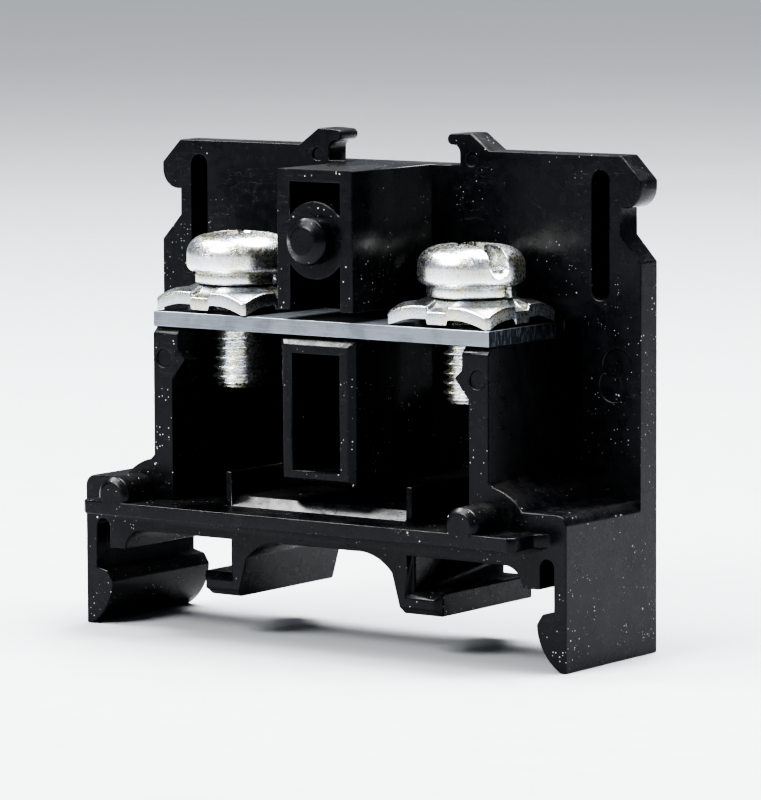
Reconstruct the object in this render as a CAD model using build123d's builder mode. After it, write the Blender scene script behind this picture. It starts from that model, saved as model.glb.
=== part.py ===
"""Feed-through terminal block for a 35 mm top hat rail.

Frame: X runs across the rail, Y along it, Z up from the foot bottoms. The origin is the middle of the
bounding box's base. The housing's back wall lies at +Y, and everything it carries reaches towards -Y.
"""

from build123d import *
import os

# Rail interface
RAIL_WIDTH = 35.0
RAIL_CLEARANCE = 0.1
FOOT_WALL = 0.9
FOOT_INNER_X = RAIL_WIDTH / 2 + RAIL_CLEARANCE
HALF_LENGTH = FOOT_INNER_X + FOOT_WALL
RAIL_SEAT_Z = 5.0
HOOK_SHELF_Z = 3.7

# Depths along Y
DEPTH = 13.2
BACK_Y = DEPTH / 2
WALL_THICKNESS = 1.9
WALL_Y = BACK_Y - WALL_THICKNESS
BODY_Y = -3.65
TOWER_Y = -3.85
LIP_Y = -DEPTH / 2

# Beam and floor
BEAM_UNDER_Z = 6.3
FLOOR_Z = 8.45
LEDGE_Z = 9.65
LEDGE_ROUND = 0.7
ARCH_X = 2.8
ARCH_END_X = 5.6
ARCH_DROP = 1.15
SEAT_X = 15.3
SEAT_ROUND = 1.3
RELIEF_WIDTH = 1.0
RELIEF_RISE = 1.35
HOOK_REACH = 1.25
FOOT_TIP = 0.4
LIP_HALF_WIDTH = 16.6
LIP_UNDER_Z = 7.6
LIP_END_R = 0.8
CHAMFER = 0.42

# Rail legs
LEG_BOTTOM_Z = 2.65
LEG_SHELF_Z = 4.1
LEG_INNER_X = 6.3
LEG_NECK_X = 7.1
LEG_TOE_X = 9.2
LEFT_TOE_DRAW = 0.6

# Back wall
WALL_TOP_Z = 30.85
SADDLE_Z = 29.9
HOOK_TOP_Z = 31.9
HOOK_X = 5.05
WAIST_X = 17.05

# End posts
POST_OUTER_X = 12.9
POST_INNER_X = 11.4
POST_BASE_Z = 11.3
BAR_UNDER_Z = 19.5
TAB_DEPTH = 1.4
TAB_REACH = 1.05
TAB_LAND = 0.5

# Centre tower and tube
CENTRE_HALF_WIDTH = 2.9
CENTRE_WALL = 1.0
TOWER_LEG_Z = 21.1
TUBE_BOTTOM_Z = 10.15
TUBE_TOP_Z = 19.35
TUBE_WALL = 1.1
TUBE_FLOOR = 0.95
TOWER_ROOF = 0.8
BOSS_RADIUS = 2.45

# Stacking pins and the sockets that take a neighbour's pins
TOWER_PIN_Z = 25.5
TOWER_PIN_R = 1.5
TOWER_PIN_LENGTH = 1.3
TOWER_PIN_LEAD = 0.42
TOWER_PIN_TAPER = 55
PIN_ROOT = 1.0
FOOT_PIN_R = 1.22
FOOT_PIN_LEAD = 0.35
FOOT_PIN_Z = 8.85
FOOT_PIN_XS = (-14.1, 12.7)
SOCKET_CLEARANCE = 0.1
LIP_SOCKET_CLEARANCE = 0.3
SOCKET_DEPTH = BODY_Y - LIP_Y + 0.15
TOWER_SOCKET_DEPTH = 1.5

# Floor ribs, marker slots, post pockets and ejector marks
RIB_X = 6.95
RIB_THICKNESS = 0.5
RIB_HEIGHT = 2.15
FLOOR_STEP = 0.65
REAR_LEDGE_DEPTH = 1.4
REAR_LEDGE_HEIGHT = 0.9
MARKER_SLOT_X = 15.52
MARKER_SLOT_Z = 25.9
MARKER_SLOT_LENGTH = 8.0
MARKER_SLOT_WIDTH = 1.25
POCKET_WIDTH = 1.15
POCKET_DEPTH = 1.4
MARK_DEPTH = 0.12
WALL_MARK_R = 1.0
HOOK_MARK_R = 0.4
POST_MARK_R = 0.57

# Conductor and terminals
BAR_LENGTH = 2 * POST_OUTER_X
BAR_FRONT_Y = -3.6
BAR_REAR_Y = 3.8
BAR_THICKNESS = 1.0
BAR_TOP_Z = BAR_UNDER_Z + BAR_THICKNESS
SCREW_X = 8.95
SCREW_Y = 0.28
THREAD_R = 1.75
RUNNING_FIT = 0.08

# Clamp plate, spring washer and screw
PLATE_SIDE = 7.6
PLATE_SHEET = 0.7
PLATE_CORNER_R = 5.4
PLATE_CORNER_Z = BAR_TOP_Z + 0.08
LEFT_PLATE_TURN = -5
PLATE_FLAT_R = 2.6
PLATE_CROWN_Z = 22.15
TAB_WIDTH = 1.5
GROOVE_REACH = 0.75
GROOVE_FLOOR_Z = PLATE_CROWN_Z - 0.6
WASHER_R = 2.8
WASHER_THICKNESS = 0.8
WASHER_SPLIT = 0.45
HEAD_R = 3.35
HEAD_HEIGHT = 2.55
HEAD_LIFT = 0.02
HEAD_ROUND = 1.25
HEAD_UNDER_CHAMFER = 0.3
SLOT_WIDTH = 1.3
SLOT_DEPTH = 1.5
HEAD_UNDER_Z = PLATE_CROWN_Z + WASHER_THICKNESS + HEAD_LIFT
HEAD_TOP_Z = HEAD_UNDER_Z + HEAD_HEIGHT
SHANK_END_Z = 15.5
SHANK_POINT = 0.35
LEFT_SLOT_ANGLE = 12
RIGHT_SLOT_ANGLE = -24


def facing(y):
    """The plane at depth y whose normal looks out of the open side, towards -Y."""
    return Plane.XZ.offset(-y)


def front_edges(part, y, x_window, z_window):
    """The part's edges in the plane y, with centres inside both windows, on either side."""
    edges = part.edges().filter_by_position(Axis.Y, y - 0.01, y + 0.01)
    return edges.filter_by(
        lambda edge: x_window[0] < abs(edge.center().X) < x_window[1]
        and z_window[0] < edge.center().Z < z_window[1]
    )


with BuildPart() as housing:
    # Back wall, with its saddle, top hooks, corner nubs and waists
    with BuildSketch(facing(BACK_Y)):
        with BuildLine():
            Polyline(
                (0, SADDLE_Z),
                (HOOK_X, SADDLE_Z),
                (HOOK_X, SADDLE_Z + 0.75),
            )
            ThreePointArc(
                (HOOK_X, SADDLE_Z + 0.75),
                (HOOK_X - 0.18, SADDLE_Z + 1.13),
                (HOOK_X - 0.6, SADDLE_Z + 1.25),
            )
            ThreePointArc(
                (HOOK_X - 0.6, SADDLE_Z + 1.25),
                (HOOK_X - 0.93, SADDLE_Z + 1.6),
                (HOOK_X - 0.55, HOOK_TOP_Z - 0.05),
            )
            Polyline(
                (HOOK_X - 0.55, HOOK_TOP_Z - 0.05),
                (HOOK_X + 0.2, HOOK_TOP_Z),
                (HOOK_X + 0.85, HOOK_TOP_Z),
                (HOOK_X + 2.3, WALL_TOP_Z),
                (WAIST_X, WALL_TOP_Z),
                (HALF_LENGTH, WALL_TOP_Z - 1.5),
                (HALF_LENGTH, WALL_TOP_Z - 2.0),
            )
            ThreePointArc(
                (HALF_LENGTH, WALL_TOP_Z - 2.0),
                (HALF_LENGTH - 0.36, WALL_TOP_Z - 2.85),
                (WAIST_X, WALL_TOP_Z - 3.2),
            )
            Polyline(
                (WAIST_X, WALL_TOP_Z - 3.2),
                (WAIST_X, WALL_TOP_Z - 4.9),
                (HALF_LENGTH, WALL_TOP_Z - 6.5),
                (HALF_LENGTH, LEDGE_Z - 1.0),
                (0, LEDGE_Z - 1.0),
            )
            mirror(about=Plane.YZ)
        make_face()
    extrude(amount=WALL_THICKNESS)

    # Beam, legs, feet and shoulders: one outline, run from the back to the body's front
    with BuildSketch(facing(BACK_Y)):
        with BuildLine():
            Line((0, BEAM_UNDER_Z), (ARCH_X, BEAM_UNDER_Z))
            ThreePointArc(
                (ARCH_X, BEAM_UNDER_Z),
                (ARCH_X + 1.75, BEAM_UNDER_Z - 0.33),
                (ARCH_END_X, BEAM_UNDER_Z - ARCH_DROP),
            )
            Polyline(
                (ARCH_END_X, BEAM_UNDER_Z - ARCH_DROP),
                (LEG_INNER_X, LEG_BOTTOM_Z),
                (LEG_TOE_X, LEG_BOTTOM_Z),
                (LEG_TOE_X, LEG_SHELF_Z),
                (LEG_NECK_X, LEG_SHELF_Z),
                (LEG_NECK_X, BEAM_UNDER_Z),
                (SEAT_X - SEAT_ROUND, BEAM_UNDER_Z),
            )
            ThreePointArc(
                (SEAT_X - SEAT_ROUND, BEAM_UNDER_Z),
                (SEAT_X - 0.3 * SEAT_ROUND, BEAM_UNDER_Z - 0.3 * SEAT_ROUND),
                (SEAT_X, RAIL_SEAT_Z),
            )
            Polyline(
                (SEAT_X, RAIL_SEAT_Z),
                (FOOT_INNER_X - RELIEF_WIDTH, RAIL_SEAT_Z),
                (FOOT_INNER_X - RELIEF_WIDTH, RAIL_SEAT_Z + RELIEF_RISE),
            )
            ThreePointArc(
                (FOOT_INNER_X - RELIEF_WIDTH, RAIL_SEAT_Z + RELIEF_RISE),
                (FOOT_INNER_X - RELIEF_WIDTH / 2, RAIL_SEAT_Z + RELIEF_RISE + RELIEF_WIDTH / 2),
                (FOOT_INNER_X, RAIL_SEAT_Z + RELIEF_RISE),
            )
            Polyline(
                (FOOT_INNER_X, RAIL_SEAT_Z + RELIEF_RISE),
                (FOOT_INNER_X, HOOK_SHELF_Z),
                (FOOT_INNER_X - 0.85, HOOK_SHELF_Z - 0.2),
                (FOOT_INNER_X - HOOK_REACH, HOOK_SHELF_Z - 0.85),
            )
            ThreePointArc(
                (FOOT_INNER_X - HOOK_REACH, HOOK_SHELF_Z - 0.85),
                (HALF_LENGTH - 1.55, 1.05),
                (HALF_LENGTH - FOOT_TIP, 0),
            )
            Polyline(
                (HALF_LENGTH - FOOT_TIP, 0),
                (HALF_LENGTH, 0),
                (HALF_LENGTH, LEDGE_Z - LEDGE_ROUND),
            )
            ThreePointArc(
                (HALF_LENGTH, LEDGE_Z - LEDGE_ROUND),
                (HALF_LENGTH - 0.3 * LEDGE_ROUND, LEDGE_Z - 0.3 * LEDGE_ROUND),
                (HALF_LENGTH - LEDGE_ROUND, LEDGE_Z),
            )
            Line((HALF_LENGTH - LEDGE_ROUND, LEDGE_Z), (SEAT_X, LEDGE_Z))
            ThreePointArc(
                (SEAT_X, LEDGE_Z),
                (SEAT_X - 0.75, LEDGE_Z + 0.75),
                (POST_OUTER_X + 0.3, POST_BASE_Z - 0.3),
            )
            Polyline(
                (POST_OUTER_X + 0.3, POST_BASE_Z - 0.3),
                (POST_OUTER_X, POST_BASE_Z),
                (POST_INNER_X, POST_BASE_Z),
                (POST_INNER_X, FLOOR_Z),
                (0, FLOOR_Z),
            )
            mirror(about=Plane.YZ)
        make_face()
    extrude(amount=BACK_Y - BODY_Y)

    # Lead-in chamfers along the front edges of the legs' toes
    leg_xs = (LEG_NECK_X - 0.1, LEG_TOE_X + 0.1)
    leg_zs = (LEG_BOTTOM_Z - 0.1, 5.4)
    chamfer(front_edges(housing, BODY_Y, leg_xs, leg_zs), CHAMFER)

    # The left leg's toe is drawn back on a slant
    with BuildSketch(facing(BACK_Y)):
        with BuildLine():
            Polyline(
                (-LEG_TOE_X - 0.1, LEG_SHELF_Z),
                (-LEG_TOE_X, LEG_SHELF_Z),
                (-LEG_TOE_X + LEFT_TOE_DRAW, LEG_BOTTOM_Z - 0.1),
                (-LEG_TOE_X - 0.1, LEG_BOTTOM_Z - 0.1),
                close=True,
            )
        make_face()
    extrude(amount=BACK_Y - BODY_Y, mode=Mode.SUBTRACT)

    # End posts, thicker where the bar rests on them, each with a snap tab across its front
    with BuildSketch(facing(WALL_Y)):
        with BuildLine():
            Polyline(
                (POST_INNER_X, POST_BASE_Z - 1),
                (POST_INNER_X, BAR_UNDER_Z - 1.8),
                (POST_INNER_X - TAB_LAND, BAR_UNDER_Z - 1.45),
                (POST_INNER_X - TAB_LAND, BAR_UNDER_Z),
                (POST_OUTER_X, BAR_UNDER_Z),
                (POST_OUTER_X, POST_BASE_Z - 1),
                close=True,
            )
        make_face()
        mirror(about=Plane.YZ)
    extrude(amount=WALL_Y - BODY_Y)
    post_top = (BAR_UNDER_Z - 0.1, BAR_UNDER_Z + 0.1)
    chamfer(front_edges(housing, BODY_Y, (POST_INNER_X, POST_OUTER_X), post_top), CHAMFER)
    with BuildSketch(facing(BODY_Y + TAB_DEPTH)):
        with BuildLine():
            Polyline(
                (POST_INNER_X + 0.3, BAR_UNDER_Z - 3.3),
                (POST_INNER_X, BAR_UNDER_Z - 3.3),
                (POST_INNER_X - TAB_REACH, BAR_UNDER_Z - 2.0),
                (POST_INNER_X - TAB_LAND, BAR_UNDER_Z - 1.45),
                (POST_INNER_X + 0.3, BAR_UNDER_Z - 1.45),
                close=True,
            )
        make_face()
        mirror(about=Plane.YZ)
    extrude(amount=TAB_DEPTH)

    # Centre tube under the bar, closed at the wall
    with BuildSketch(facing(WALL_Y)):
        with Locations((0, (TUBE_BOTTOM_Z + TUBE_TOP_Z) / 2)):
            Rectangle(2 * CENTRE_HALF_WIDTH, TUBE_TOP_Z - TUBE_BOTTOM_Z)
    extrude(amount=WALL_Y - TOWER_Y)
    chamfer(front_edges(housing, TOWER_Y, (-1, 3), (10, 20)), CHAMFER)
    with BuildSketch(facing(WALL_Y)):
        with Locations((0, (TUBE_BOTTOM_Z + TUBE_TOP_Z) / 2)):
            Rectangle(2 * (CENTRE_HALF_WIDTH - TUBE_WALL), TUBE_TOP_Z - TUBE_BOTTOM_Z - 2 * TUBE_FLOOR)
    extrude(amount=WALL_Y - TOWER_Y, mode=Mode.SUBTRACT)

    # Centre tower over the bar, hollow round its pin boss and open at the bottom
    with BuildSketch(facing(WALL_Y)):
        with Locations((0, (TOWER_LEG_Z + SADDLE_Z) / 2)):
            Rectangle(2 * CENTRE_HALF_WIDTH, SADDLE_Z - TOWER_LEG_Z)
        with Locations((0, (TOWER_LEG_Z + SADDLE_Z - TOWER_ROOF) / 2)):
            Rectangle(
                2 * (CENTRE_HALF_WIDTH - CENTRE_WALL),
                SADDLE_Z - TOWER_ROOF - TOWER_LEG_Z,
                mode=Mode.SUBTRACT,
            )
        with Locations((0, TOWER_PIN_Z)):
            Circle(BOSS_RADIUS)
    extrude(amount=WALL_Y - TOWER_Y)

    # Tower pin, with its coned lead-in
    with BuildSketch(facing(TOWER_Y + PIN_ROOT)):
        with Locations((0, TOWER_PIN_Z)):
            Circle(TOWER_PIN_R)
    extrude(amount=TOWER_PIN_LENGTH + PIN_ROOT - TOWER_PIN_LEAD)
    with BuildSketch(facing(TOWER_Y - TOWER_PIN_LENGTH + TOWER_PIN_LEAD)):
        with Locations((0, TOWER_PIN_Z)):
            Circle(TOWER_PIN_R)
    extrude(amount=TOWER_PIN_LEAD, taper=TOWER_PIN_TAPER)

    # Front lip, its ends run into the feet in a hollow round, and its two foot pins
    with BuildSketch(Plane.XY.offset(LIP_UNDER_Z)):
        with BuildLine():
            Polyline(
                (0, BODY_Y + 0.5),
                (0, LIP_Y),
                (LIP_HALF_WIDTH - 0.4, LIP_Y),
                (LIP_HALF_WIDTH, LIP_Y + 0.4),
                (LIP_HALF_WIDTH, BODY_Y - LIP_END_R),
            )
            ThreePointArc(
                (LIP_HALF_WIDTH, BODY_Y - LIP_END_R),
                (LIP_HALF_WIDTH + 0.38 * LIP_END_R, BODY_Y - 0.38 * LIP_END_R),
                (LIP_HALF_WIDTH + LIP_END_R, BODY_Y),
            )
            Polyline(
                (LIP_HALF_WIDTH + LIP_END_R, BODY_Y),
                (LIP_HALF_WIDTH + LIP_END_R, BODY_Y + 0.5),
                (0, BODY_Y + 0.5),
            )
        make_face()
        mirror(about=Plane.YZ)
    extrude(amount=FLOOR_Z - LIP_UNDER_Z)
    with BuildSketch(facing(BODY_Y + PIN_ROOT)):
        with Locations(*[(x, FOOT_PIN_Z) for x in FOOT_PIN_XS]):
            Circle(FOOT_PIN_R)
    extrude(amount=BODY_Y + PIN_ROOT - LIP_Y - FOOT_PIN_LEAD)
    with BuildSketch(facing(LIP_Y + FOOT_PIN_LEAD)):
        with Locations(*[(x, FOOT_PIN_Z) for x in FOOT_PIN_XS]):
            Circle(FOOT_PIN_R)
    extrude(amount=FOOT_PIN_LEAD, taper=45)

    # Raised floor between two ribs, its front edge sloped, and the ledge over the rear slot
    with BuildSketch(Plane.YZ.offset(-RIB_X)):
        with BuildLine():
            Polyline(
                (BODY_Y, FLOOR_Z - 0.1),
                (BODY_Y, FLOOR_Z),
                (BODY_Y + FLOOR_STEP, FLOOR_Z + FLOOR_STEP),
                (WALL_Y, FLOOR_Z + FLOOR_STEP),
                (WALL_Y, FLOOR_Z - 0.1),
                close=True,
            )
        make_face()
    extrude(amount=2 * RIB_X)
    with BuildSketch(Plane.XY.offset(FLOOR_Z)):
        with Locations((-RIB_X, (WALL_Y + BODY_Y) / 2), (RIB_X, (WALL_Y + BODY_Y) / 2)):
            Rectangle(RIB_THICKNESS, WALL_Y - BODY_Y)
    extrude(amount=RIB_HEIGHT)
    with BuildSketch(Plane.XY.offset(FLOOR_Z)):
        with Locations((0, WALL_Y - REAR_LEDGE_DEPTH / 2)):
            Rectangle(2 * POST_INNER_X, REAR_LEDGE_DEPTH)
    extrude(amount=REAR_LEDGE_HEIGHT)

    # Marker slots, and a pocket beside each post, sunk into the wall
    with BuildSketch(facing(WALL_Y)):
        with Locations((MARKER_SLOT_X, MARKER_SLOT_Z)):
            SlotOverall(MARKER_SLOT_LENGTH, MARKER_SLOT_WIDTH, rotation=90)
        mirror(about=Plane.YZ)
    extrude(amount=-POCKET_DEPTH, mode=Mode.SUBTRACT)
    with BuildSketch(facing(WALL_Y)):
        with Locations((POST_OUTER_X + POCKET_WIDTH / 2, (POST_BASE_Z + BAR_UNDER_Z + 1) / 2)):
            Rectangle(POCKET_WIDTH, BAR_UNDER_Z + 1 - POST_BASE_Z)
        fillet(vertices().group_by(Axis.X)[-1], 0.6)
        mirror(about=Plane.YZ)
    extrude(amount=-POCKET_DEPTH, mode=Mode.SUBTRACT)

    # Sockets in the back for a neighbour's lip, foot pins and tower pin
    with BuildSketch(facing(BACK_Y)):
        with Locations((0, (LIP_UNDER_Z + FLOOR_Z) / 2)):
            Rectangle(
                2 * (LIP_HALF_WIDTH + SOCKET_CLEARANCE),
                FLOOR_Z - LIP_UNDER_Z + 2 * LIP_SOCKET_CLEARANCE,
            )
        with Locations(*[(x, FOOT_PIN_Z) for x in FOOT_PIN_XS]):
            Circle(FOOT_PIN_R + SOCKET_CLEARANCE)
    extrude(amount=SOCKET_DEPTH, mode=Mode.SUBTRACT)
    with BuildSketch(facing(BACK_Y)):
        with Locations((0, TOWER_PIN_Z)):
            Circle(TOWER_PIN_R + SOCKET_CLEARANCE)
    extrude(amount=TOWER_SOCKET_DEPTH, mode=Mode.SUBTRACT)

    # Shallow marks of the ejector pins, on the wall and on the posts' front faces
    with BuildSketch(facing(WALL_Y)):
        with Locations((16.75, 17.9), (16.5, 16.65)):
            Circle(WALL_MARK_R)
        with Locations((HOOK_X + 0.9, SADDLE_Z + 0.35)):
            Circle(HOOK_MARK_R)
        mirror(about=Plane.YZ)
    extrude(amount=-MARK_DEPTH, mode=Mode.SUBTRACT)
    with BuildSketch(facing(BODY_Y)):
        with Locations((12.05, 17.5)):
            Circle(POST_MARK_R)
        mirror(about=Plane.YZ)
    extrude(amount=-MARK_DEPTH, mode=Mode.SUBTRACT)

with BuildPart() as conductor_bar:
    with BuildSketch(Plane.XY.offset(BAR_UNDER_Z)):
        with Locations((0, (BAR_FRONT_Y + BAR_REAR_Y) / 2)):
            Rectangle(BAR_LENGTH, BAR_REAR_Y - BAR_FRONT_Y)
        with Locations((-SCREW_X, SCREW_Y), (SCREW_X, SCREW_Y)):
            Circle(THREAD_R + RUNNING_FIT, mode=Mode.SUBTRACT)
    extrude(amount=BAR_THICKNESS)

pieces = {"housing": housing, "conductor_bar": conductor_bar}

for side, screw_x, slot_angle, plate_turn in (
    ("left", -SCREW_X, LEFT_SLOT_ANGLE, LEFT_PLATE_TURN),
    ("right", SCREW_X, RIGHT_SLOT_ANGLE, 0),
):
    screw_axis = Axis((screw_x, SCREW_Y, 0), (0, 0, 1))
    screw_plane = Plane((screw_x, SCREW_Y, 0), x_dir=(1, 0, 0), z_dir=(0, -1, 0))

    # Square clamp plate: a dished sheet cut square, grooved and tabbed down at the middle of each side
    with BuildPart() as clamp_plate:
        with BuildSketch(screw_plane):
            with BuildLine():
                Line((0, PLATE_CROWN_Z), (PLATE_FLAT_R, PLATE_CROWN_Z))
                ThreePointArc(
                    (PLATE_FLAT_R, PLATE_CROWN_Z),
                    (PLATE_FLAT_R + 1.4, PLATE_CROWN_Z - 0.25),
                    (PLATE_CORNER_R, PLATE_CORNER_Z + PLATE_SHEET),
                )
                Line((PLATE_CORNER_R, PLATE_CORNER_Z + PLATE_SHEET), (PLATE_CORNER_R, PLATE_CORNER_Z))
                ThreePointArc(
                    (PLATE_CORNER_R, PLATE_CORNER_Z),
                    (PLATE_FLAT_R + 1.4, PLATE_CROWN_Z - PLATE_SHEET - 0.25),
                    (PLATE_FLAT_R, PLATE_CROWN_Z - PLATE_SHEET),
                )
                Polyline(
                    (PLATE_FLAT_R, PLATE_CROWN_Z - PLATE_SHEET),
                    (0, PLATE_CROWN_Z - PLATE_SHEET),
                    (0, PLATE_CROWN_Z),
                )
            make_face()
        revolve(axis=screw_axis)
        with BuildSketch(Plane.XY.offset(BAR_TOP_Z)):
            with Locations((screw_x, SCREW_Y)):
                RectangleRounded(PLATE_SIDE, PLATE_SIDE, 0.3, rotation=plate_turn)
        extrude(amount=PLATE_CROWN_Z - BAR_TOP_Z, mode=Mode.INTERSECT)
        with BuildSketch(Plane.XY.offset(PLATE_CORNER_Z + 0.1)):
            with Locations((screw_x, SCREW_Y)):
                with PolarLocations(PLATE_SIDE / 2 - PLATE_SHEET / 2, 4, start_angle=plate_turn):
                    Rectangle(PLATE_SHEET, TAB_WIDTH)
        extrude(amount=PLATE_CROWN_Z - PLATE_CORNER_Z - PLATE_SHEET - 0.2)
        with BuildSketch(Plane.XY.offset(GROOVE_FLOOR_Z)):
            with Locations((screw_x, SCREW_Y)):
                with PolarLocations(PLATE_SIDE / 2, 4, start_angle=plate_turn):
                    Rectangle(2 * GROOVE_REACH, TAB_WIDTH)
        extrude(amount=PLATE_CROWN_Z - GROOVE_FLOOR_Z, mode=Mode.SUBTRACT)
        with BuildSketch(Plane.XY.offset(BAR_TOP_Z)):
            with Locations((screw_x, SCREW_Y)):
                Circle(THREAD_R + RUNNING_FIT)
        extrude(amount=PLATE_CROWN_Z - BAR_TOP_Z, mode=Mode.SUBTRACT)

    # Split spring washer
    with BuildPart() as spring_washer:
        with BuildSketch(Plane.XY.offset(PLATE_CROWN_Z)):
            with Locations((screw_x, SCREW_Y)):
                Circle(WASHER_R)
                Circle(THREAD_R + RUNNING_FIT, mode=Mode.SUBTRACT)
            with Locations((screw_x + WASHER_R, SCREW_Y)):
                Rectangle(WASHER_R, WASHER_SPLIT, mode=Mode.SUBTRACT)
        extrude(amount=WASHER_THICKNESS)

    # Pan head screw with a driver slot
    with BuildPart() as screw:
        with BuildSketch(screw_plane):
            with BuildLine():
                Polyline(
                    (0, HEAD_TOP_Z),
                    (0, SHANK_END_Z),
                    (THREAD_R - SHANK_POINT, SHANK_END_Z),
                    (THREAD_R, SHANK_END_Z + SHANK_POINT),
                    (THREAD_R, HEAD_UNDER_Z),
                    (HEAD_R - HEAD_UNDER_CHAMFER, HEAD_UNDER_Z),
                    (HEAD_R, HEAD_UNDER_Z + HEAD_UNDER_CHAMFER),
                    (HEAD_R, HEAD_TOP_Z - HEAD_ROUND),
                )
                ThreePointArc(
                    (HEAD_R, HEAD_TOP_Z - HEAD_ROUND),
                    (HEAD_R - 0.45, HEAD_TOP_Z - 0.45),
                    (HEAD_R - 1.6, HEAD_TOP_Z - 0.08),
                )
                Line((HEAD_R - 1.6, HEAD_TOP_Z - 0.08), (0, HEAD_TOP_Z))
            make_face()
        revolve(axis=screw_axis)
        with BuildSketch(Plane.XY.offset(HEAD_TOP_Z)):
            with Locations((screw_x, SCREW_Y)):
                Rectangle(2 * HEAD_R + 1, SLOT_WIDTH, rotation=slot_angle)
        extrude(amount=-SLOT_DEPTH, mode=Mode.SUBTRACT)

    pieces[f"{side}_clamp_plate"] = clamp_plate
    pieces[f"{side}_spring_washer"] = spring_washer
    pieces[f"{side}_screw"] = screw

os.makedirs("parts", exist_ok=True)
for name, piece in pieces.items():
    piece.part.label = name
    export_step(piece.part, f"parts/{name}.step")
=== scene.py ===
"""Feed-through terminal block for a 35 mm rail, standing on its feet on a pale table.

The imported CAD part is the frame. Every shape below starts from a CAD node: the housing and the bar are
its own shapes with rounded edges, and the clamp plates, spring washers and screws are built in full
detail round the same axes. Shapes are drawn in millimetres, and their meshes are made in metres. The
lights and the camera are placed in metres.
"""

import math

import bmesh
import bpy
from mathutils import Matrix, Vector


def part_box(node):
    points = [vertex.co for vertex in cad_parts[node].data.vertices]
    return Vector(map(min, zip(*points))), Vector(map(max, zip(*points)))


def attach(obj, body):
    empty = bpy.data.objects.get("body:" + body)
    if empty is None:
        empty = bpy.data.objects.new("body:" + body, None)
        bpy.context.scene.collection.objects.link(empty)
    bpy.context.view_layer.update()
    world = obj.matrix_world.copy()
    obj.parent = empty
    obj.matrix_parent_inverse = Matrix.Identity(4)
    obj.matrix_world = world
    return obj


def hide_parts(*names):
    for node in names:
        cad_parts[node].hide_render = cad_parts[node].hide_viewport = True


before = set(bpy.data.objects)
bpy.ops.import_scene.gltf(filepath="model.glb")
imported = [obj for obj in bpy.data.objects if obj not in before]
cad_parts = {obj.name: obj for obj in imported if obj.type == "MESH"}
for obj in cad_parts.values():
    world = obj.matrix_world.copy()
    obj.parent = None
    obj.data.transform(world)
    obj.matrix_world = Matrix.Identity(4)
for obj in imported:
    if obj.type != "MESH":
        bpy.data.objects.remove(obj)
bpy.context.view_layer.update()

MM = 0.001
TURN = 2 * math.pi


def box_mm(node):
    """A CAD node's lowest and highest corners, in millimetres."""
    low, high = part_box(node)
    return low / MM, high / MM


# Rounds on the housing and the bar
HOUSING_ROUND = 0.1
BAR_ROUND = 0.09
ROUND_SEGMENTS = 3
SHARP_ANGLE = math.radians(28)
FLAT_ANGLE = math.radians(0.6)
WELD_DISTANCE = 0.0001
LARGE_FACE_WEIGHT = 60

# Screws: tip, thread and neck
SCREW_SEGMENTS = 144
TIP_PROFILE = ((0.3, 0.0), (1.1, 0.0), (1.32, 0.04))  # radius, and height from the tip
THREAD_PITCH = 0.6
THREAD_R = 1.75
THREAD_ROOT_R = 1.4
THREAD_HALF_CREST = 0.09  # as a share of the pitch
THREAD_FLANK = 0.32  # the same
THREAD_START = 0.12
THREAD_END_GAP = 0.35
THREAD_ROWS = 16  # in each turn
LEAD_IN_DEPTH = 0.32
LEAD_IN_LENGTH = 0.75
NECK_R = THREAD_R - 0.1
NECK_RUN_OUT = 0.1
NECK_FLARE = 0.04

# Screws: head
HEAD_HEIGHT = 2.55
HEAD_UNDERSIDE_RADII = (2.1, 2.5)
HEAD_FOOT_ROUND = 0.5
HEAD_RIM_HEIGHTS = (0.8, 1.1)
CROWN_RUN = 1.62
CROWN_RISE = 1.33
CROWN_POWER = 1.05
CROWN_STEPS = 15
CAP_PROFILE = ((1.4, 0.06), (1.0, 0.035), (0.5, 0.01), (0.12, 0.0))  # radius, and depth from the top
BURNISH = 0.05
BURNISH_ANGLE = math.radians(38)
CREASE_ANGLE = math.radians(50)

# Screws: driver slot and cross recess
SLOT_ANGLES = {"left": 12.0, "right": -24.0}
SLOT_WIDTH = 1.3
SLOT_DEPTH = 1.5
SLOT_CORNER_R = 0.38
SLOT_OPENING = 1.06  # how many times wider the cutter is above the head
SLOT_OVERRUN = 1.0
FLARE_R = 0.76
FLARE_OFFSET = 0.16  # past the head's rim
FLARE_DEPTH = 1.3
ABOVE_HEAD = 1.0
CROSS_LEVELS = (  # height from the head's top, and half of a wing's length and width there
    (ABOVE_HEAD, 2.2, 0.5),
    (-0.1, 1.8, 0.45),
    (-1.75, 0.95, 0.28),
    (-2.05, 0.42, 0.12),
)

# Spring washers
HOLE_R = THREAD_R + 0.1
WASHER_R = 2.8
WASHER_SPLIT = 0.45
WASHER_LIFT = 0.07
WASHER_CORNER_R = 0.13
WASHER_ROWS = 180
WASHER_END_ROUND = 0.12
WASHER_END_SHRINK = 0.05

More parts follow.
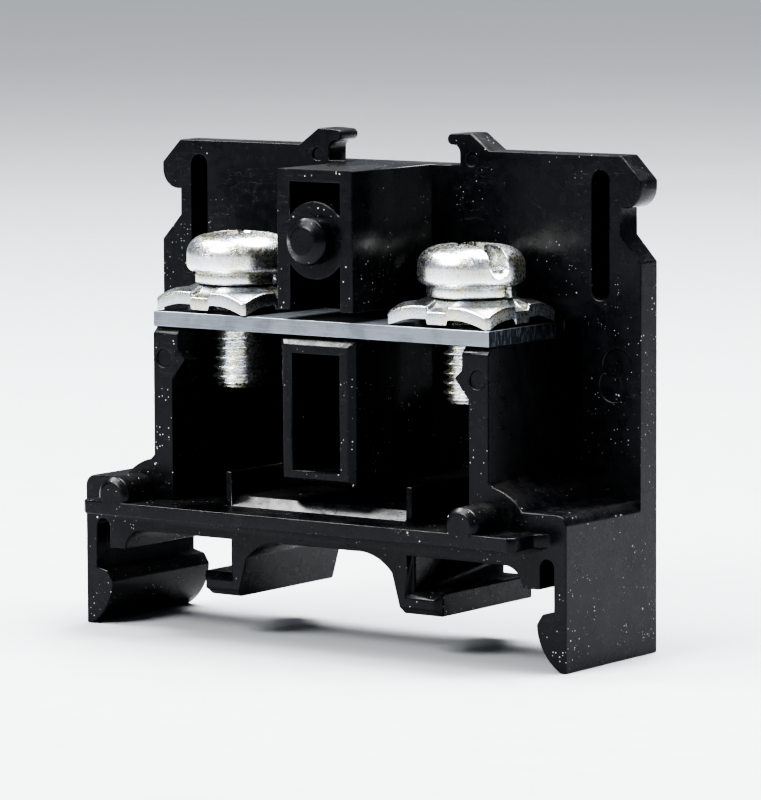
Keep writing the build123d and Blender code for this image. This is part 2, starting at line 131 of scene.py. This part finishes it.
# Clamp plates
BAR_TOP = box_mm("conductor_bar")[1].z
PLATE_TURNS = {"left": -5.0, "right": 0.0}
PLATE_HALF = 3.8
PLATE_CORNER_R = 0.3
PLATE_SHEET = 0.83
PLATE_UPPER_ROUND = 0.15
PLATE_LOWER_ROUND = 0.07
PLATE_EDGE_TAPER = 0.015
PLATE_TAPER_DEPTH = 0.45 * PLATE_SHEET
PLATE_HOLE_SINK = 0.06
PLATE_OVER_BAR = 0.03
PLATE_SEGMENTS = 480
PLATE_RINGS = 26
DISH_RADII = (2.6, 3.7)
DISH_DEPTH = 0.32
CORNER_BEND_R = 4.1
CORNER_BEND_RUN = 1.2
CORNER_BEND_DROP = 0.55
CORNER_BEND_POWER = 1.3
GROOVE_DEPTH = 0.33
GROOVE_HALF_WIDTHS = (0.69, 0.83)  # at the floor, and at the top
GROOVE_RUN = (2.3, 3.2)  # from the middle: where the groove starts, and where it is full depth


# ---------------------------------------------------------------- mesh helpers


def linked(name, data):
    """A new object that holds the data, in the scene."""
    obj = bpy.data.objects.new(name, data)
    bpy.context.scene.collection.objects.link(obj)
    return obj


def mesh_object(name, verts, faces):
    """A mesh object from millimetre points, with its faces turned outwards and shaded smooth."""
    mesh = bpy.data.meshes.new(name)
    mesh.from_pydata([Vector(v) * MM for v in verts], [], faces)
    mesh.validate()
    shape = bmesh.new()
    shape.from_mesh(mesh)
    bmesh.ops.recalc_face_normals(shape, faces=shape.faces)
    shape.to_mesh(mesh)
    shape.free()
    mesh.shade_smooth()
    return linked(name, mesh)


def apply_modifiers(obj):
    """Works the object's modifiers into its mesh."""
    evaluated = obj.evaluated_get(bpy.context.evaluated_depsgraph_get())
    mesh = bpy.data.meshes.new_from_object(evaluated)
    obj.modifiers.clear()
    obj.data = mesh


def round_edges(obj, radius):
    """Sharp outer edges get a round of that radius, sharp inner ones stay crisp, and faces stay flat."""
    shape = bmesh.new()
    shape.from_mesh(obj.data)
    weight = shape.edges.layers.float.new("bevel_weight_edge")
    for edge in shape.edges:
        if edge.calc_face_angle(0.0) > SHARP_ANGLE:
            edge.smooth = edge.is_convex
            edge[weight] = float(edge.is_convex)
    shape.to_mesh(obj.data)
    shape.free()
    low = [min(v.co[i] for v in obj.data.vertices) for i in range(3)]
    high = [max(v.co[i] for v in obj.data.vertices) for i in range(3)]
    bevel = obj.modifiers.new("rounded", "BEVEL")
    bevel.width = radius * MM
    bevel.segments = ROUND_SEGMENTS
    bevel.limit_method = "WEIGHT"
    bevel.use_clamp_overlap = False
    bevel.miter_outer = "MITER_SHARP"
    normals = obj.modifiers.new("normals", "WEIGHTED_NORMAL")
    normals.keep_sharp = True
    normals.weight = LARGE_FACE_WEIGHT
    apply_modifiers(obj)
    for vertex in obj.data.vertices:
        vertex.co = [min(max(c, low[i]), high[i]) for i, c in enumerate(vertex.co)]
    return obj


def copy_of_node(node, name):
    """A CAD node's shape as a new object, with its coplanar triangles joined into whole faces."""
    shape = bmesh.new()
    shape.from_mesh(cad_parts[node].data)
    bmesh.ops.remove_doubles(shape, verts=shape.verts, dist=WELD_DISTANCE * MM)
    bmesh.ops.dissolve_limit(shape, angle_limit=FLAT_ANGLE, verts=shape.verts, edges=shape.edges)
    mesh = bpy.data.meshes.new(name)
    shape.to_mesh(mesh)
    shape.free()
    for attribute in ("custom_normal", "sharp_edge", "sharp_face"):
        if attribute in mesh.attributes:
            mesh.attributes.remove(mesh.attributes[attribute])
    mesh.shade_smooth()
    return linked(name, mesh)


def lofted(name, loops, closed=False):
    """A skin over equal loops of points. It is capped at both ends, or closed on itself like a ring."""
    count = len(loops[0])
    verts = [point for loop in loops for point in loop]
    faces = []
    last = len(loops) if closed else len(loops) - 1
    for row in range(last):
        below, above = row * count, (row + 1) % len(loops) * count
        for i in range(count):
            j = (i + 1) % count
            faces.append((below + i, below + j, above + j, above + i))
    if not closed:
        faces.append(tuple(reversed(range(count))))
        faces.append(tuple(range(last * count, (last + 1) * count)))
    return mesh_object(name, verts, faces)


def cut(obj, cutters):
    """Takes the cutters' shapes out of the object."""
    for cutter in cutters:
        boolean = obj.modifiers.new("cut", "BOOLEAN")
        boolean.operation = "DIFFERENCE"
        boolean.solver = "EXACT"
        boolean.object = cutter
    apply_modifiers(obj)
    for cutter in cutters:
        bpy.data.objects.remove(cutter)


def arc(centre, radius, start, end, steps):
    """Points of an arc in a profile's plane, with angles in degrees."""
    angles = [math.radians(start + (end - start) * i / steps) for i in range(steps + 1)]
    return [(centre[0] + radius * math.cos(a), centre[1] + radius * math.sin(a)) for a in angles]


def circle(centre, radius, z, segments):
    """Points of a level circle, from its centre's x and y, its radius and its height."""
    angles = [TURN * k / segments for k in range(segments)]
    return [(centre[0] + radius * math.cos(a), centre[1] + radius * math.sin(a), z) for a in angles]


def smoothstep(low, high, x):
    """0 below low, 1 above high, and a smooth rise between them."""
    t = min(max((x - low) / (high - low), 0.0), 1.0)
    return t * t * (3 - 2 * t)


# ---------------------------------------------------------------- materials


class Nodes:
    """Short ways to add shader nodes to one material, whose lengths are in millimetres."""

    def __init__(self, name):
        self.material = bpy.data.materials.new(name)
        self.material.use_nodes = True
        self.tree = self.material.node_tree
        self.shader = self.tree.nodes["Principled BSDF"]
        self.object_mm = self.scaled(self.add("ShaderNodeTexCoord").outputs["Object"], (1000, 1000, 1000))

    def add(self, kind, inputs=None, **settings):
        node = self.tree.nodes.new(kind)
        for key, value in settings.items():
            setattr(node, key, value)
        for key, value in (inputs or {}).items():
            self.feed(node.inputs[key], value)
        return node

    def feed(self, socket, value):
        """Gives a socket a link from another node's socket, or a plain value."""
        if isinstance(value, bpy.types.NodeSocket):
            self.tree.links.new(value, socket)
        else:
            socket.default_value = value

    def shade(self, name, value):
        """Feeds one of the shader's own sockets."""
        self.feed(self.shader.inputs[name], value)

    def scaled(self, vector, scale):
        return self.add("ShaderNodeMapping", {"Vector": vector, "Scale": scale}).outputs["Vector"]

    def noise(self, scale, detail=4.0, roughness=0.55, vector=None):
        place = vector or self.object_mm
        inputs = {"Vector": place, "Scale": scale, "Detail": detail, "Roughness": roughness}
        return self.add("ShaderNodeTexNoise", inputs).outputs["Fac"]

    def math(self, operation, a, b=0.0, clamp=False):
        return self.add("ShaderNodeMath", {0: a, 1: b}, operation=operation, use_clamp=clamp).outputs[0]

    def times(self, a, b):
        return self.math("MULTIPLY", a, b)

    def span(self, value, low, high, to_low=0.0, to_high=1.0):
        """The value's range from low to high, moved to another range and held inside it."""
        inputs = {"Value": value, "From Min": low, "From Max": high, "To Min": to_low, "To Max": to_high}
        return self.add("ShaderNodeMapRange", inputs, interpolation_type="SMOOTHSTEP").outputs["Result"]

    def mix(self, factor, a, b):
        """Colour a where the factor is 0, and b where it is 1. A colour is linear red, green and blue."""
        node = self.add("ShaderNodeMix", data_type="RGBA")
        self.feed(node.inputs["Factor"], factor)
        for name, colour in (("A", a), ("B", b)):
            self.feed(node.inputs[name], (*colour, 1) if isinstance(colour, tuple) else colour)
        return node.outputs["Result"]

    def bump(self, height, distance_mm, strength, normal=None):
        inputs = {"Height": height, "Distance": distance_mm * MM, "Strength": strength}
        if normal is not None:
            inputs["Normal"] = normal
        return self.add("ShaderNodeBump", inputs).outputs["Normal"]

    def specks(self, cell, radius, share, seed=0.0):
        """Round specks up to a radius, in a share of the cells: 1 inside a speck, and 0 outside."""
        place = self.add("ShaderNodeVectorMath", {0: self.object_mm, 1: (seed, seed, seed)}).outputs["Vector"]
        cells = self.add("ShaderNodeTexVoronoi", {"Vector": place, "Scale": 1 / cell})
        chance = self.add("ShaderNodeSeparateColor", {"Color": cells.outputs["Color"]})
        limit = self.times(chance.outputs["Green"], radius / cell)
        inside = self.math("LESS_THAN", cells.outputs["Distance"], limit)
        return self.times(inside, self.math("LESS_THAN", chance.outputs["Red"], share))

    def facing(self, direction):
        """The surface normal's dot product with a direction of the part's own frame."""
        inputs = {0: self.add("ShaderNodeTexCoord").outputs["Normal"], 1: direction}
        return self.add("ShaderNodeVectorMath", inputs, operation="DOT_PRODUCT").outputs["Value"]

    def scratches(self, density, share):
        """Thin broken lines, which run along the axis where the density is lowest."""
        stretched = self.scaled(self.object_mm, density)
        line = self.math("ABSOLUTE", self.math("SUBTRACT", self.noise(1.0, 2.0, 0.5, stretched), 0.5))
        thin = self.span(line, 0.0, 0.006, 1.0, 0.0)
        return self.times(thin, self.span(self.noise(0.35, 2.0), 1 - share, 1.08 - share))


def black_plastic():
    """Glossy black moulded plastic with mottled gloss, rubbed spots, dust and fine scratches, and a warm grey
    film on upward faces that is partly dust and partly painted sheen.
    """
    m = Nodes("housing_plastic")
    cloud = m.noise(0.16, 3.0)
    mottle = m.noise(1.3, 5.0, 0.6)

    # Dust lies on what faces up, and on the outward faces above the feet; the same cover also places a
    # painted sheen on the upward faces
    up = m.span(m.facing((0.25, -0.1, 0.95)), 0.1, 0.9)
    outward = m.span(m.facing((0.65, -0.65, 0.1)), 0.2, 0.75)
    height = m.add("ShaderNodeSeparateXYZ", {"Vector": m.object_mm}).outputs["Z"]
    settled = m.math("MAXIMUM", up, m.times(outward, m.span(height, 6.0, 11.0, 0.2, 0.7)))
    dust_and_sheen_cover = m.times(m.math("ADD", m.times(settled, 0.75), 0.25), m.span(cloud, 0.36, 0.62))
    fine = m.times(m.specks(0.24, 0.058, 0.42), m.span(m.noise(0.5, 3.0), 0.42, 0.58))
    coarse = m.specks(0.95, 0.085, 0.2, seed=7.3)
    dust = m.times(m.math("MAXIMUM", fine, coarse), m.span(dust_and_sheen_cover, 0.08, 0.4))

    rub = m.times(m.span(m.noise(0.9, 6.0, 0.72), 0.6, 0.72), m.span(m.noise(5.0, 4.0, 0.7), 0.42, 0.62))
    lines = m.math("MAXIMUM", m.scratches((0.5, 5.0, 3.0), 0.5), m.scratches((4.0, 3.0, 0.6), 0.46))

    black = m.mix(m.span(mottle, 0.35, 0.7), (0.003, 0.0034, 0.0046), (0.006, 0.0066, 0.0085))
    # Upward faces get a warm grey film that is partly settled dust and partly painted sheen from the light
    # above
    dust_film_and_sheen = m.mix(m.times(m.times(up, dust_and_sheen_cover), 0.4), black, (0.045, 0.042, 0.039))
    worn = m.mix(m.times(rub, 0.2), dust_film_and_sheen, (0.04, 0.04, 0.042))
    lined = m.mix(m.times(lines, 0.22), worn, (0.07, 0.075, 0.08))
    m.shade("Base Color", m.mix(m.times(dust, 0.85), lined, (0.5, 0.51, 0.52)))

    smooth = m.math("ADD", m.span(cloud, 0.3, 0.7, 0.23, 0.32), m.span(mottle, 0.3, 0.7, -0.03, 0.06))
    matt = m.times(m.math("MAXIMUM", rub, dust), 0.35)
    m.shade("Roughness", m.math("ADD", smooth, matt, clamp=True))
    m.shade("IOR", 1.5)
    m.shade("Specular IOR Level", 0.26)

    wave = m.bump(m.noise(0.45, 2.0, 0.4), 0.03, 0.5)
    skin = m.bump(m.noise(14.0, 3.0, 0.6), 0.0035, 0.5, wave)
    m.shade("Normal", m.bump(m.math("SUBTRACT", dust, lines), 0.012, 0.6, skin))
    return m.material


def plated_metal(name, clean, tinted, dull, roughness):
    """Zinc plated steel: bright, with passivation tints, dull patches, handling marks and fine pits."""
    m = Nodes(name)
    fine = m.noise(6.0, 5.0, 0.65)
    pits = m.specks(0.16, 0.045, 0.35)
    marks = m.times(m.span(m.noise(2.1, 6.0, 0.75), 0.56, 0.68), m.span(fine, 0.4, 0.6))
    lines = m.math("MAXIMUM", m.scratches((1.0, 9.0, 6.0), 0.55), m.scratches((7.0, 6.0, 0.8), 0.5))

    tint = m.mix(m.span(m.noise(0.8, 4.0, 0.6), 0.42, 0.66), clean, tinted)
    dulled = m.mix(m.times(marks, 0.55), tint, dull)
    m.shade("Base Color", m.mix(m.times(pits, 0.5), dulled, (0.2, 0.2, 0.2)))
    m.shade("Metallic", 1.0)

    uneven = m.span(fine, 0.3, 0.7, roughness - 0.05, roughness + 0.09)
    m.shade("Roughness", m.math("ADD", uneven, m.times(marks, 0.22), clamp=True))

    orange_peel = m.bump(m.noise(3.2, 3.0, 0.5), 0.007, 0.4)
    frosted = m.bump(m.noise(22.0, 3.0, 0.6), 0.002, 0.4, orange_peel)
    dents = m.math("MAXIMUM", m.times(lines, 0.6), pits)
    m.shade("Normal", m.bump(m.math("SUBTRACT", 0.0, dents), 0.012, 0.5, frosted))
    return m.material


def bar_metal():
    """Dull grey plated bar, drawn along its length, with stains, small nicks, and ends torn by the shear that
    are painted dark as shade.
    """
    m = Nodes("bar_metal")
    drawn = m.noise(1.0, 5.0, 0.6, m.scaled(m.object_mm, (0.5, 16.0, 16.0)))
    torn = m.noise(1.0, 5.0, 0.7, m.scaled(m.object_mm, (1.0, 5.0, 1.2)))
    stain = m.noise(0.7, 5.0, 0.6)
    nicks = m.specks(0.4, 0.07, 0.25, seed=2.1)
    end = m.span(m.math("ABSOLUTE", m.facing((1, 0, 0))), 0.6, 0.9)

    silver = m.mix(m.span(stain, 0.38, 0.66), (0.22, 0.24, 0.27), (0.16, 0.175, 0.195))
    streaked = m.mix(m.span(drawn, 0.42, 0.62, 0.0, 0.35), silver, (0.3, 0.315, 0.335))
    # The ends are painted nearly black: painted shade over the torn texture of the shear
    sheared_ends_with_painted_shade = m.mix(m.span(torn, 0.45, 0.7), (0.035, 0.04, 0.05), (0.22, 0.24, 0.27))
    ended = m.mix(end, streaked, sheared_ends_with_painted_shade)
    m.shade("Base Color", m.mix(m.times(nicks, 0.6), ended, (0.14, 0.14, 0.15)))
    m.shade("Metallic", 1.0)

    worn = m.math("ADD", m.span(stain, 0.3, 0.7, 0.3, 0.42), m.times(drawn, 0.1))
    m.shade("Roughness", m.math("ADD", worn, m.times(end, 0.12)))

    skin = m.bump(drawn, 0.004, 0.5)
    rough_end = m.bump(m.times(torn, end), 0.03, 0.5, skin)
    m.shade("Normal", m.bump(m.math("SUBTRACT", 0.0, nicks), 0.015, 0.5, rough_end))
    return m.material


# ---------------------------------------------------------------- pieces


def piece(obj, body, node, material):
    """Gives a finished shape its material and the body that it moves with, and hides its CAD node."""
    obj.data.materials.clear()
    obj.data.materials.append(material)
    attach(obj, body)
    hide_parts(node)


def housing(material):
    """The black moulding, with the small rounds that a mould leaves on its edges."""
    obj = round_edges(copy_of_node("housing", "housing_moulding"), HOUSING_ROUND)
    piece(obj, "block", "housing", material)


def conductor_bar(material):
    """The plated bar, with broken edges."""
    obj = round_edges(copy_of_node("conductor_bar", "conductor_bar_plated"), BAR_ROUND)
    piece(obj, "block", "conductor_bar", material)


def screw_axis(side):
    """The x and y of a screw's axis."""
    low, high = box_mm(f"{side}_screw")
    return (low.x + high.x) / 2, (low.y + high.y) / 2


def plate_outline(angle):
    """How far the rounded square's edge is from its middle, in one direction."""
    c, s = abs(math.cos(angle)), abs(math.sin(angle))
    reach = PLATE_HALF / max(c, s)
    middle = PLATE_HALF - PLATE_CORNER_R
    if min(c, s) * reach <= middle:
        return reach
    b = middle * (c + s)
    return b + math.sqrt(max(b * b - 2 * middle * middle + PLATE_CORNER_R * PLATE_CORNER_R, 0.0))


def plate_fall(x, y):
    """How far the clamp plate's upper face is below its crown: a dish with a groove at each side's middle."""
    r = math.hypot(x, y)
    dish = DISH_DEPTH * smoothstep(*DISH_RADII, r)
    corner = CORNER_BEND_DROP * (max(r - CORNER_BEND_R, 0.0) / CORNER_BEND_RUN) ** CORNER_BEND_POWER
    along, across = sorted((abs(x), abs(y)), reverse=True)
    inside = 1 - smoothstep(*GROOVE_HALF_WIDTHS, across)
    return dish + corner + GROOVE_DEPTH * inside * smoothstep(*GROOVE_RUN, along)


def plate_section():
    """The plate's section, from the hole over the upper face, round the edge and back under to the hole.

    Each row is one ring: how far it is drawn in from the outline, its place from the hole (0) to the
    outline (1), and its depth below the upper face. Rings are doubled where a face meets a round, so
    that the face and the round are shaded apart.
    """
    upper, lower = PLATE_UPPER_ROUND, PLATE_LOWER_ROUND
    shares = [1 - i / PLATE_RINGS for i in range(PLATE_RINGS)]
    rows = [(upper, share, 0.0) for share in reversed(shares)]
    for k in range(5):
        a = math.pi / 2 * k / 4
        rows.append((upper * (1 - math.sin(a)), 1.0, upper * (1 - math.cos(a))))
    rows.append((PLATE_EDGE_TAPER, 1.0, PLATE_TAPER_DEPTH))
    for k in range(4):
        a = math.pi / 2 * k / 3
        rows.append((lower * (1 - math.cos(a)), 1.0, PLATE_SHEET - lower * (1 - math.sin(a))))
    rows += [(lower, share, PLATE_SHEET) for share in shares]
    rows += [(lower, 0.0, PLATE_SHEET), (upper, 0.0, PLATE_HOLE_SINK)]
    return rows


def clamp_plate(side, material):
    """Square clamp plate pressed from sheet: flat crown, grooved sides, and corners that bite the bar."""
    x0, y0 = screw_axis(side)
    crown = box_mm(f"{side}_clamp_plate")[1].z
    turn = math.radians(PLATE_TURNS[side])
    loops = []
    for inset, share, depth in reversed(plate_section()):
        loop = []
        for k in range(PLATE_SEGMENTS):
            angle = TURN * k / PLATE_SEGMENTS
            outer = plate_outline(angle) - inset
            r = HOLE_R + (outer - HOLE_R) * share
            z = crown - plate_fall(r * math.cos(angle), r * math.sin(angle)) - depth
            x, y = r * math.cos(angle + turn), r * math.sin(angle + turn)
            loop.append((x0 + x, y0 + y, max(z, BAR_TOP + PLATE_OVER_BAR)))
        loops.append(loop)
    obj = lofted(f"{side}_clamp_plate_sheet", loops, closed=True)
    piece(obj, f"{side}_clamp", f"{side}_clamp_plate", material)


def spring_washer(side, material):
    """Split spring washer: a bar of rounded square section, coiled once and pressed nearly flat."""
    x0, y0 = screw_axis(side)
    low, high = box_mm(f"{side}_spring_washer")
    corner = WASHER_CORNER_R
    thickness = high.z - low.z - WASHER_LIFT
    section = []
    for centre, start in (
        ((WASHER_R - corner, corner), -90),
        ((WASHER_R - corner, thickness - corner), 0),
        ((HOLE_R + corner, thickness - corner), 90),
        ((HOLE_R + corner, corner), 180),
    ):
        section += arc(centre, corner, start, start + 90, 4)
    centre_r, centre_z = (HOLE_R + WASHER_R) / 2, thickness / 2
    half_gap = WASHER_SPLIT / 2 / WASHER_R
    loops = []
    for k in range(WASHER_ROWS + 1):
        share = k / WASHER_ROWS
        angle = half_gap + (TURN - 2 * half_gap) * share
        foot = low.z + WASHER_LIFT * smoothstep(0.0, 1.0, share)
        from_end = min(share, 1 - share) * TURN * WASHER_R
        size = 1 - WASHER_END_SHRINK * (1 - smoothstep(0.0, WASHER_END_ROUND, from_end))
        loop = []
        for section_r, section_z in section:
            r = centre_r + (section_r - centre_r) * size
            z = centre_z + (section_z - centre_z) * size
            loop.append((x0 + r * math.cos(angle), y0 + r * math.sin(angle), foot + z))
        loops.append(loop)
    obj = lofted(f"{side}_spring_washer_coil", loops)
    piece(obj, f"{side}_clamp", f"{side}_spring_washer", material)


def thread_radius(z, angle, bottom):
    """The thread's radius at a height and direction: a right-hand thread with flat crests and roots."""
    phase = (z / THREAD_PITCH - angle / TURN) % 1.0
    flank = min(max((abs(phase - 0.5) - THREAD_HALF_CREST) / THREAD_FLANK, 0.0), 1.0)
    depth = (THREAD_R - THREAD_ROOT_R) * flank
    lead_in = LEAD_IN_DEPTH * (1 - smoothstep(bottom, bottom + LEAD_IN_LENGTH, z))
    return THREAD_R - max(depth, lead_in)


def thread_loops(axis, bottom, end):
    """Rings of the thread, from just above the screw's tip to the thread's end."""
    start = bottom + THREAD_START
    rows = int((end - start) / THREAD_PITCH * THREAD_ROWS)
    loops = []
    for row in range(rows + 1):
        z = start + (end - start) * row / rows
        loop = []
        for k in range(SCREW_SEGMENTS):
            angle = TURN * k / SCREW_SEGMENTS
            r = thread_radius(z, angle, bottom)
            loop.append((axis[0] + r * math.cos(angle), axis[1] + r * math.sin(angle), z))
        loops.append(loop)
    return loops


def head_profile(head_r, under, top):
    """Radii and heights of the pan head, from its underside round its rim to its top."""
    profile = [(r, under) for r in HEAD_UNDERSIDE_RADII]
    profile += arc((head_r - HEAD_FOOT_ROUND, under + HEAD_FOOT_ROUND), HEAD_FOOT_ROUND, -90, 0, 8)
    profile += [(head_r, under + height) for height in HEAD_RIM_HEIGHTS]
    for i in range(1, CROWN_STEPS):
        a = math.pi / 2 * i / CROWN_STEPS
        r = head_r - CROWN_RUN * (1 - math.cos(a)) ** CROWN_POWER
        profile.append((r, under + HEAD_RIM_HEIGHTS[-1] + CROWN_RISE * math.sin(a)))
    profile += [(r, top - depth) for r, depth in CAP_PROFILE]
    return profile


def slot_cutter(reach):
    """The driver slot, with the head's top as height 0 and round corners at its floor."""
    half, corner = SLOT_WIDTH / 2, SLOT_CORNER_R
    open_half = half * SLOT_OPENING
    section = [(open_half, ABOVE_HEAD), (-open_half, ABOVE_HEAD)]
    section += arc((-half + corner, -SLOT_DEPTH + corner), corner, 180, 270, 6)
    section += arc((half - corner, -SLOT_DEPTH + corner), corner, 270, 360, 6)
    return lofted("slot_cutter", [[(x, y, z) for y, z in section] for x in (reach, -reach)])


def flare_cutter(x):
    """A ball at one end of the slot, which flares the slot's mouth in the head's rim."""
    rings = 24
    loops = []
    for k in range(1, rings):
        a = math.pi * k / rings
        loops.append(circle((x, 0.0), FLARE_R * math.sin(a), -FLARE_DEPTH - FLARE_R * math.cos(a), 32))
    return lofted("flare_cutter", loops)


def cross_cutter(along_slot):
    """One of the cross recess's two wings, which taper to a blunt point."""
    loops = []
    for z, reach, width in reversed(CROSS_LEVELS):
        corners = [(reach, width), (-reach, width), (-reach, -width), (reach, -width)]
        loops.append([(x, y, z) if along_slot else (-y, x, z) for x, y in corners])
    return lofted("cross_cutter", loops)


def head_cutters(side, axis, head_r, top):
    """The driver slot with its flared ends, and the cross recess that goes deeper in the middle."""
    cutters = [slot_cutter(head_r + SLOT_OVERRUN)]
    cutters += [flare_cutter(end * (head_r + FLARE_OFFSET)) for end in (-1, 1)]
    cutters += [cross_cutter(along_slot) for along_slot in (False, True)]
    slot_turn = Matrix.Rotation(math.radians(SLOT_ANGLES[side]), 4, "Z")
    for cutter in cutters:
        cutter.data.transform(Matrix.Translation(Vector((*axis, top)) * MM) @ slot_turn)
    return cutters


def screw(side, material):
    """Pan head terminal screw with a cut thread, a flared driver slot and a cross recess."""
    axis = screw_axis(side)
    low, high = box_mm(f"{side}_screw")
    head_r = (high.x - low.x) / 2
    bottom, top = low.z, high.z
    under = top - HEAD_HEIGHT
    thread_end = under - THREAD_END_GAP
    tip = [(r, bottom + height) for r, height in TIP_PROFILE]
    neck = [(NECK_R, thread_end + NECK_RUN_OUT), (NECK_R, under - NECK_FLARE), (THREAD_R, under)]
    loops = [circle(axis, r, z, SCREW_SEGMENTS) for r, z in tip]
    loops += thread_loops(axis, bottom, thread_end)
    loops += [circle(axis, r, z, SCREW_SEGMENTS) for r, z in neck + head_profile(head_r, under, top)]
    obj = lofted(f"{side}_screw_body", loops)
    cut(obj, head_cutters(side, axis, head_r, top))
    bevel = obj.modifiers.new("burnished", "BEVEL")
    bevel.width = BURNISH * MM
    bevel.segments = 2
    bevel.limit_method = "ANGLE"
    bevel.angle_limit = BURNISH_ANGLE
    apply_modifiers(obj)
    obj.data.shade_smooth()
    obj.data.set_sharp_from_angle(angle=CREASE_ANGLE)
    piece(obj, f"{side}_screw", f"{side}_screw", material)


def build_object():
    housing(black_plastic())
    conductor_bar(bar_metal())
    screw_zinc = plated_metal(
        "screw_zinc",
        clean=(0.74, 0.76, 0.79),
        tinted=(0.77, 0.74, 0.58),
        dull=(0.5, 0.51, 0.54),
        roughness=0.25,
    )
    plate_zinc = plated_metal(
        "plate_zinc",
        clean=(0.44, 0.47, 0.51),
        tinted=(0.52, 0.5, 0.42),
        dull=(0.26, 0.28, 0.31),
        roughness=0.28,
    )
    for side in ("left", "right"):
        clamp_plate(side, plate_zinc)
        spring_washer(side, screw_zinc)
        screw(side, screw_zinc)


# ---------------------------------------------------------------- table, lights and camera

TABLE_HALF = 4000  # in millimetres
LIT_POINT = Vector((0, 0, 0.018))

# The viewpoint is 35.5 degrees to the right of the open side, and 6.3 degrees above the table
CAMERA_PLACE = Vector((0.18443, -0.25564, 0.04999))
CAMERA_AZIMUTH = math.radians(35.477)
CAMERA_ELEVATION = math.radians(6.295)
CAMERA_ROLL = math.radians(-0.253)
SENSOR_HEIGHT = 36  # in millimetres, like the lens
LENS = 227.4291


def table_top():
    """A wide plain pale table with a faint unevenness."""
    m = Nodes("table")
    m.shade("Base Color", m.mix(m.noise(0.02, 3.0), (0.5, 0.51, 0.53), (0.54, 0.55, 0.56)))
    m.shade("Roughness", m.span(m.noise(0.4, 4.0), 0.3, 0.7, 0.5, 0.6))
    corners = [(x * TABLE_HALF, y * TABLE_HALF, 0) for x, y in ((-1, -1), (1, -1), (1, 1), (-1, 1))]
    table = mesh_object("table", corners, [(0, 1, 2, 3)])
    table.data.materials.append(m.material)


def sun_light(name, direction, strength, spread):
    """Daylight from one side, whose spread in degrees softens its shadows."""
    light = bpy.data.lights.new(name, "SUN")
    light.energy = strength
    light.angle = math.radians(spread)
    linked(name, light).rotation_euler = Vector(direction).to_track_quat("-Z", "Y").to_euler()


def area_light(name, place, size, power, colour=(1.0, 1.0, 1.0)):
    """A softbox that faces the object."""
    light = bpy.data.lights.new(name, "AREA")
    light.shape = "RECTANGLE"
    light.size, light.size_y = size
    light.energy = power
    light.color = colour
    obj = linked(name, light)
    obj.location = place
    obj.rotation_euler = (LIT_POINT - Vector(place)).to_track_quat("-Z", "Y").to_euler()


def studio():
    """Soft daylight all round, a key from the upper left, and softboxes for the gloss on the parts."""
    world = bpy.data.worlds.new("studio")
    world.use_nodes = True
    background = world.node_tree.nodes["Background"]
    background.inputs["Color"].default_value = (0.86, 0.92, 1.0, 1)
    background.inputs["Strength"].default_value = 0.24
    bpy.context.scene.world = world
    sun_light("daylight", (0.25, 0.35, -1.0), strength=1.6, spread=28)
    area_light("key", (-0.12, -0.34, 0.3), size=(0.22, 0.16), power=2.4)
    area_light("right_fill", (0.42, -0.12, 0.14), size=(0.14, 0.3), power=0.08, colour=(0.92, 0.96, 1.0))
    area_light("overhead", (0.05, 0.12, 0.4), size=(0.3, 0.2), power=4.4)
    area_light("left_top", (-0.26, -0.05, 0.36), size=(0.12, 0.12), power=1.2)
    bpy.context.scene.view_settings.look = "AgX - Very High Contrast"


def camera():
    """A long lens at the viewpoint, turned to its azimuth, elevation and roll."""
    forward = Vector((
        -math.sin(CAMERA_AZIMUTH) * math.cos(CAMERA_ELEVATION),
        math.cos(CAMERA_AZIMUTH) * math.cos(CAMERA_ELEVATION),
        -math.sin(CAMERA_ELEVATION),
    ))
    level = Vector((math.cos(CAMERA_AZIMUTH), math.sin(CAMERA_AZIMUTH), 0))
    right = math.cos(CAMERA_ROLL) * level + math.sin(CAMERA_ROLL) * level.cross(forward)
    up = right.cross(forward)
    turned = Matrix((right, up, -forward)).transposed().to_4x4()
    data = bpy.data.cameras.new("camera")
    data.sensor_fit = "VERTICAL"
    data.sensor_height = SENSOR_HEIGHT
    data.lens = LENS
    data.clip_start = 0.01
    data.clip_end = 20
    obj = linked("camera", data)
    obj.matrix_world = Matrix.Translation(CAMERA_PLACE) @ turned
    bpy.context.scene.camera = obj


camera()
studio()
table_top()
build_object()
